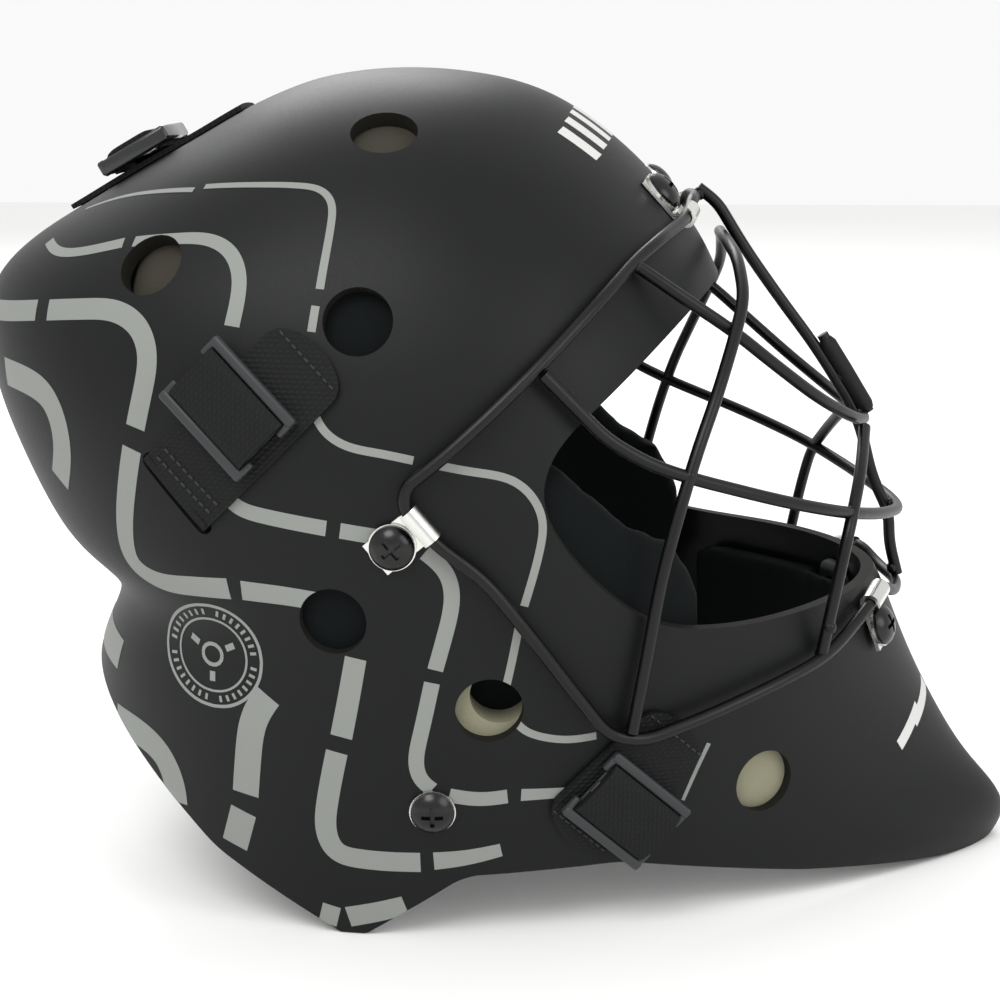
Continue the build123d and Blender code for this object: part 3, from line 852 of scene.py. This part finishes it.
def block(low, high, plane, edge=0.7):
    """A box with rounded edges, given in a slider's own directions."""
    work = bmesh.new()
    bmesh.ops.create_cube(work, size=1)
    low, high = Vector(low), Vector(high)
    for v in work.verts:
        v.co = Vector(((v.co[k] + 0.5) * (high[k] - low[k]) + low[k]) for k in range(3))
    bmesh.ops.bevel(work, geom=list(work.edges), offset=edge, segments=3, profile=0.5, affect="EDGES")
    bmesh.ops.recalc_face_normals(work, faces=work.faces)
    origin, x_way, y_way, z_way = plane
    points = [origin + x_way * v.co[0] + y_way * v.co[1] + z_way * v.co[2] for v in work.verts]
    work.verts.index_update()
    faces = [tuple(v.index for v in f.verts) for f in work.faces]
    if x_way.cross(y_way).dot(z_way) < 0:
        faces = [f[::-1] for f in faces]
    work.free()
    return points, faces


half_along, half_across = 12.5, 16.9  # half a slider's or buckle's size


def outer_bars(plane, inside, low, high, edge):
    """The two thick bars that the webbing folds round."""
    return [
        block((-half_along, -half_across, low), (-inside, half_across, high), plane, edge),
        block((inside, -half_across, low), (half_along, half_across, high), plane, edge),
    ]


def side_bars(plane, reach, span, heights, edge):
    """The two bars along the sides, each between an inner and an outer edge."""
    (inside, outside), (low, high) = span, heights
    return [
        block((-reach, inside, low), (reach, outside, high), plane, edge),
        block((-reach, -outside, low), (reach, -inside, high), plane, edge),
    ]


def joined(name, blocks, material, plane):
    """One piece made of blocks, with a weave map along and across the strap."""
    points, faces = [], []
    for more_points, more_faces in blocks:
        start = len(points)
        points += more_points
        faces += [tuple(i + start for i in f) for f in more_faces]
    made = piece(name, points, faces, [material])
    sharpen(made, 50)
    weave_map(made, plane[1], plane[2])
    return made


arch_reach, arch_half_width = 9.0, 14.8


def arch(plane, thickness, foot=0.3):
    """The webbing over a slider's middle: a shallow arch that turns down inside both outer bars."""
    origin, x_way, y_way, z_way = plane
    profile = []
    for t in np.linspace(0, 1, 15):
        x = -arch_reach + 2 * arch_reach * t
        rise = thickness + 1.5 - 1.5 * abs(2 * t - 1) ** 6
        profile.append((x, rise))
    lower = [(x * 0.84, z - 1.5) for x, z in profile]
    ring = [(-arch_reach, foot)] + profile + [(arch_reach, foot), (7.6, foot)] + lower[::-1] + [(-7.6, foot)]
    points, faces = [], []
    rows = 15
    for r in range(rows):
        y = -arch_half_width + 2 * arch_half_width * r / (rows - 1)
        sag = 0.15 * math.cos(math.pi * y / 30)
        for x, z in ring:
            points.append(origin + x_way * x + y_way * y + z_way * (z + sag))
    count = len(ring)
    flip = x_way.cross(y_way).dot(z_way) < 0
    for r in range(rows - 1):
        for c in range(count):
            n = (c + 1) % count
            face = (r * count + c, (r + 1) * count + c, (r + 1) * count + n, r * count + n)
            faces.append(face[::-1] if flip else face)
    last = (rows - 1) * count
    first_cap, last_cap = tuple(range(count)), tuple(range(last + count - 1, last - 1, -1))
    faces += [first_cap[::-1], last_cap[::-1]] if flip else [first_cap, last_cap]
    return points, faces


slider_lift = 2.5  # over the shell: 0.4 gap, 1.6 webbing and 0.5 clearance


def side_reach(x, level):
    """How far the form reaches sideways, between the stations as in the CAD."""
    back, front, widest, power = (np.interp(level, stations[:, 0], stations[:, k]) for k in range(1, 5))
    ahead = x > widest
    share = (x - widest) / (front - widest) if ahead else (widest - x) / (widest - back)
    bulge = power if ahead else rear_power
    return half_width(level) * (1 - min(share, 0.999) ** bulge) ** (1 / bulge)


def slider_plane(x, level, side, probe=3.0):
    """Where a slider sits: its origin, the way along the strap, across it, and out of the shell."""
    slope_x = (side_reach(x + probe, level) - side_reach(x - probe, level)) / (2 * probe)
    slope_z = (side_reach(x, level + probe) - side_reach(x, level - probe)) / (2 * probe)
    out = Vector((-slope_x, 1, -slope_z)).normalized()
    lean = Vector((1, 0, 1)).normalized()
    along = (lean - out * lean.dot(out)).normalized()
    origin = Vector((x, side_reach(x, level), level)) + out * slider_lift
    return [Vector((v.x, v.y * side, v.z)) for v in (origin, along, out.cross(along), out)]


for name, place in (("side", (-73.5, 163.5)), ("jaw", (38, 41))):
    for side, sign in (("left", 1), ("right", -1)):
        plane = slider_plane(*place, sign)
        blocks = outer_bars(plane, 9.3, 0.1, 3.0, 0.9)
        blocks.append(block((-2.2, -14.6, 0.2), (2.2, 14.6, 2.4), plane))
        blocks += side_bars(plane, 11.0, (12.6, 14.5), (0.1, 1.2), 0.4)
        for end in (-15.9, 15.9):
            blocks.append(block((-11.0, end - 1.0, 0.3), (-5.6, end + 1.0, 2.6), plane, 0.7))
            blocks.append(block((5.6, end - 1.0, 0.3), (11.0, end + 1.0, 2.6), plane, 0.7))
        slider = joined(f"{name}_slider_{side}_frame", blocks, slider_acetal_painted_sheen, plane)
        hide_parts(f"{name}_slider_{side}")
        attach(slider, f"{name}_slider_{side}")
        fold = joined(f"{name}_webbing_{side}_arch", [arch(plane, 3.0)], webbing, plane)
        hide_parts(f"{name}_webbing_fold_{side}")
        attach(fold, f"{name}_slider_{side}")
lift = Vector((-0.5, 0, 0.866))
buckle_place, buckle_lift = Vector((-116, 0, 226)), 4
plane = (buckle_place + lift * buckle_lift, Vector((0.866, 0, 0.5)), Vector((0, 1, 0)), lift)
blocks = outer_bars(plane, 9.2, -0.6, 4.2, 1.0)
blocks.append(block((-2.2, -14.8, 0.2), (2.2, 14.8, 3.0), plane))
blocks += side_bars(plane, 12.0, (15.0, 17.0), (-1.0, 4.0), 0.9)
buckle = joined("crown_buckle_frame", blocks, buckle_plastic, plane)
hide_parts("crown_buckle")
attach(buckle, "crown_buckle")
fold = joined("crown_webbing_arch", [arch(plane, 4.0, -1.8)], webbing, plane)
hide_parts("crown_webbing_fold")
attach(fold, "crown_buckle")

# ---- Studio ----
# A plain pale floor, two big soft lights and a soft rim light, a pale surrounding, and the camera.
floor_finish, tree, shader = finish_of("floor_pale", "#f2f2f1", 0.9)
reach, floor_level = 3000, -0.3
corners = [(x * reach, y * reach, floor_level) for x, y in ((-1, -1), (1, -1), (1, 1), (-1, 1))]
floor = piece("floor", corners, [(0, 1, 2, 3)], [floor_finish])
floor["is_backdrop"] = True
world = bpy.data.worlds.new("pale_room")
world.use_nodes = True
world.node_tree.nodes["Background"].inputs["Color"].default_value = linear("#ffffff")
world.node_tree.nodes["Background"].inputs["Strength"].default_value = 0.95
bpy.context.scene.world = world
bpy.context.scene.view_settings.view_transform = "Standard"
for name, place, size, power in (
    ("key_light", (-0.5, -1.3, 1.6), 1.1, 20),
    ("fill_light", (1.4, -1.1, 0.9), 1.2, 10),
    ("back_light", (-0.4, 1.5, 1.3), 1.0, 14),
):
    lamp = bpy.data.lights.new(name, "AREA")
    lamp.shape, lamp.size, lamp.energy = "DISK", size, power
    holder = bpy.data.objects.new(name, lamp)
    holder.location = place
    holder.rotation_euler = (Vector((0, 0, 0.12)) - Vector(place)).to_track_quat("-Z", "Y").to_euler()
    bpy.context.scene.collection.objects.link(holder)
lens = bpy.data.cameras.new("camera")
lens.lens, lens.sensor_width = 73.9, 36
lens.clip_start, lens.clip_end = 0.05, 20
camera = bpy.data.objects.new("camera", lens)
bearing, rise = math.radians(2.55), math.radians(12.28)
away = Vector((math.sin(bearing) * math.cos(rise), -math.cos(bearing) * math.cos(rise), math.sin(rise)))
aim, distance = Vector((-2.634, 0, 114.859)), 688.9
camera.location = (aim + away * distance) * MM
camera.rotation_euler = (-away).to_track_quat("-Z", "Y").to_euler()
bpy.context.scene.collection.objects.link(camera)
bpy.context.scene.camera = camera
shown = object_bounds()
rows = [[list(corner) for corner in span] for span in (loaded, shown)]
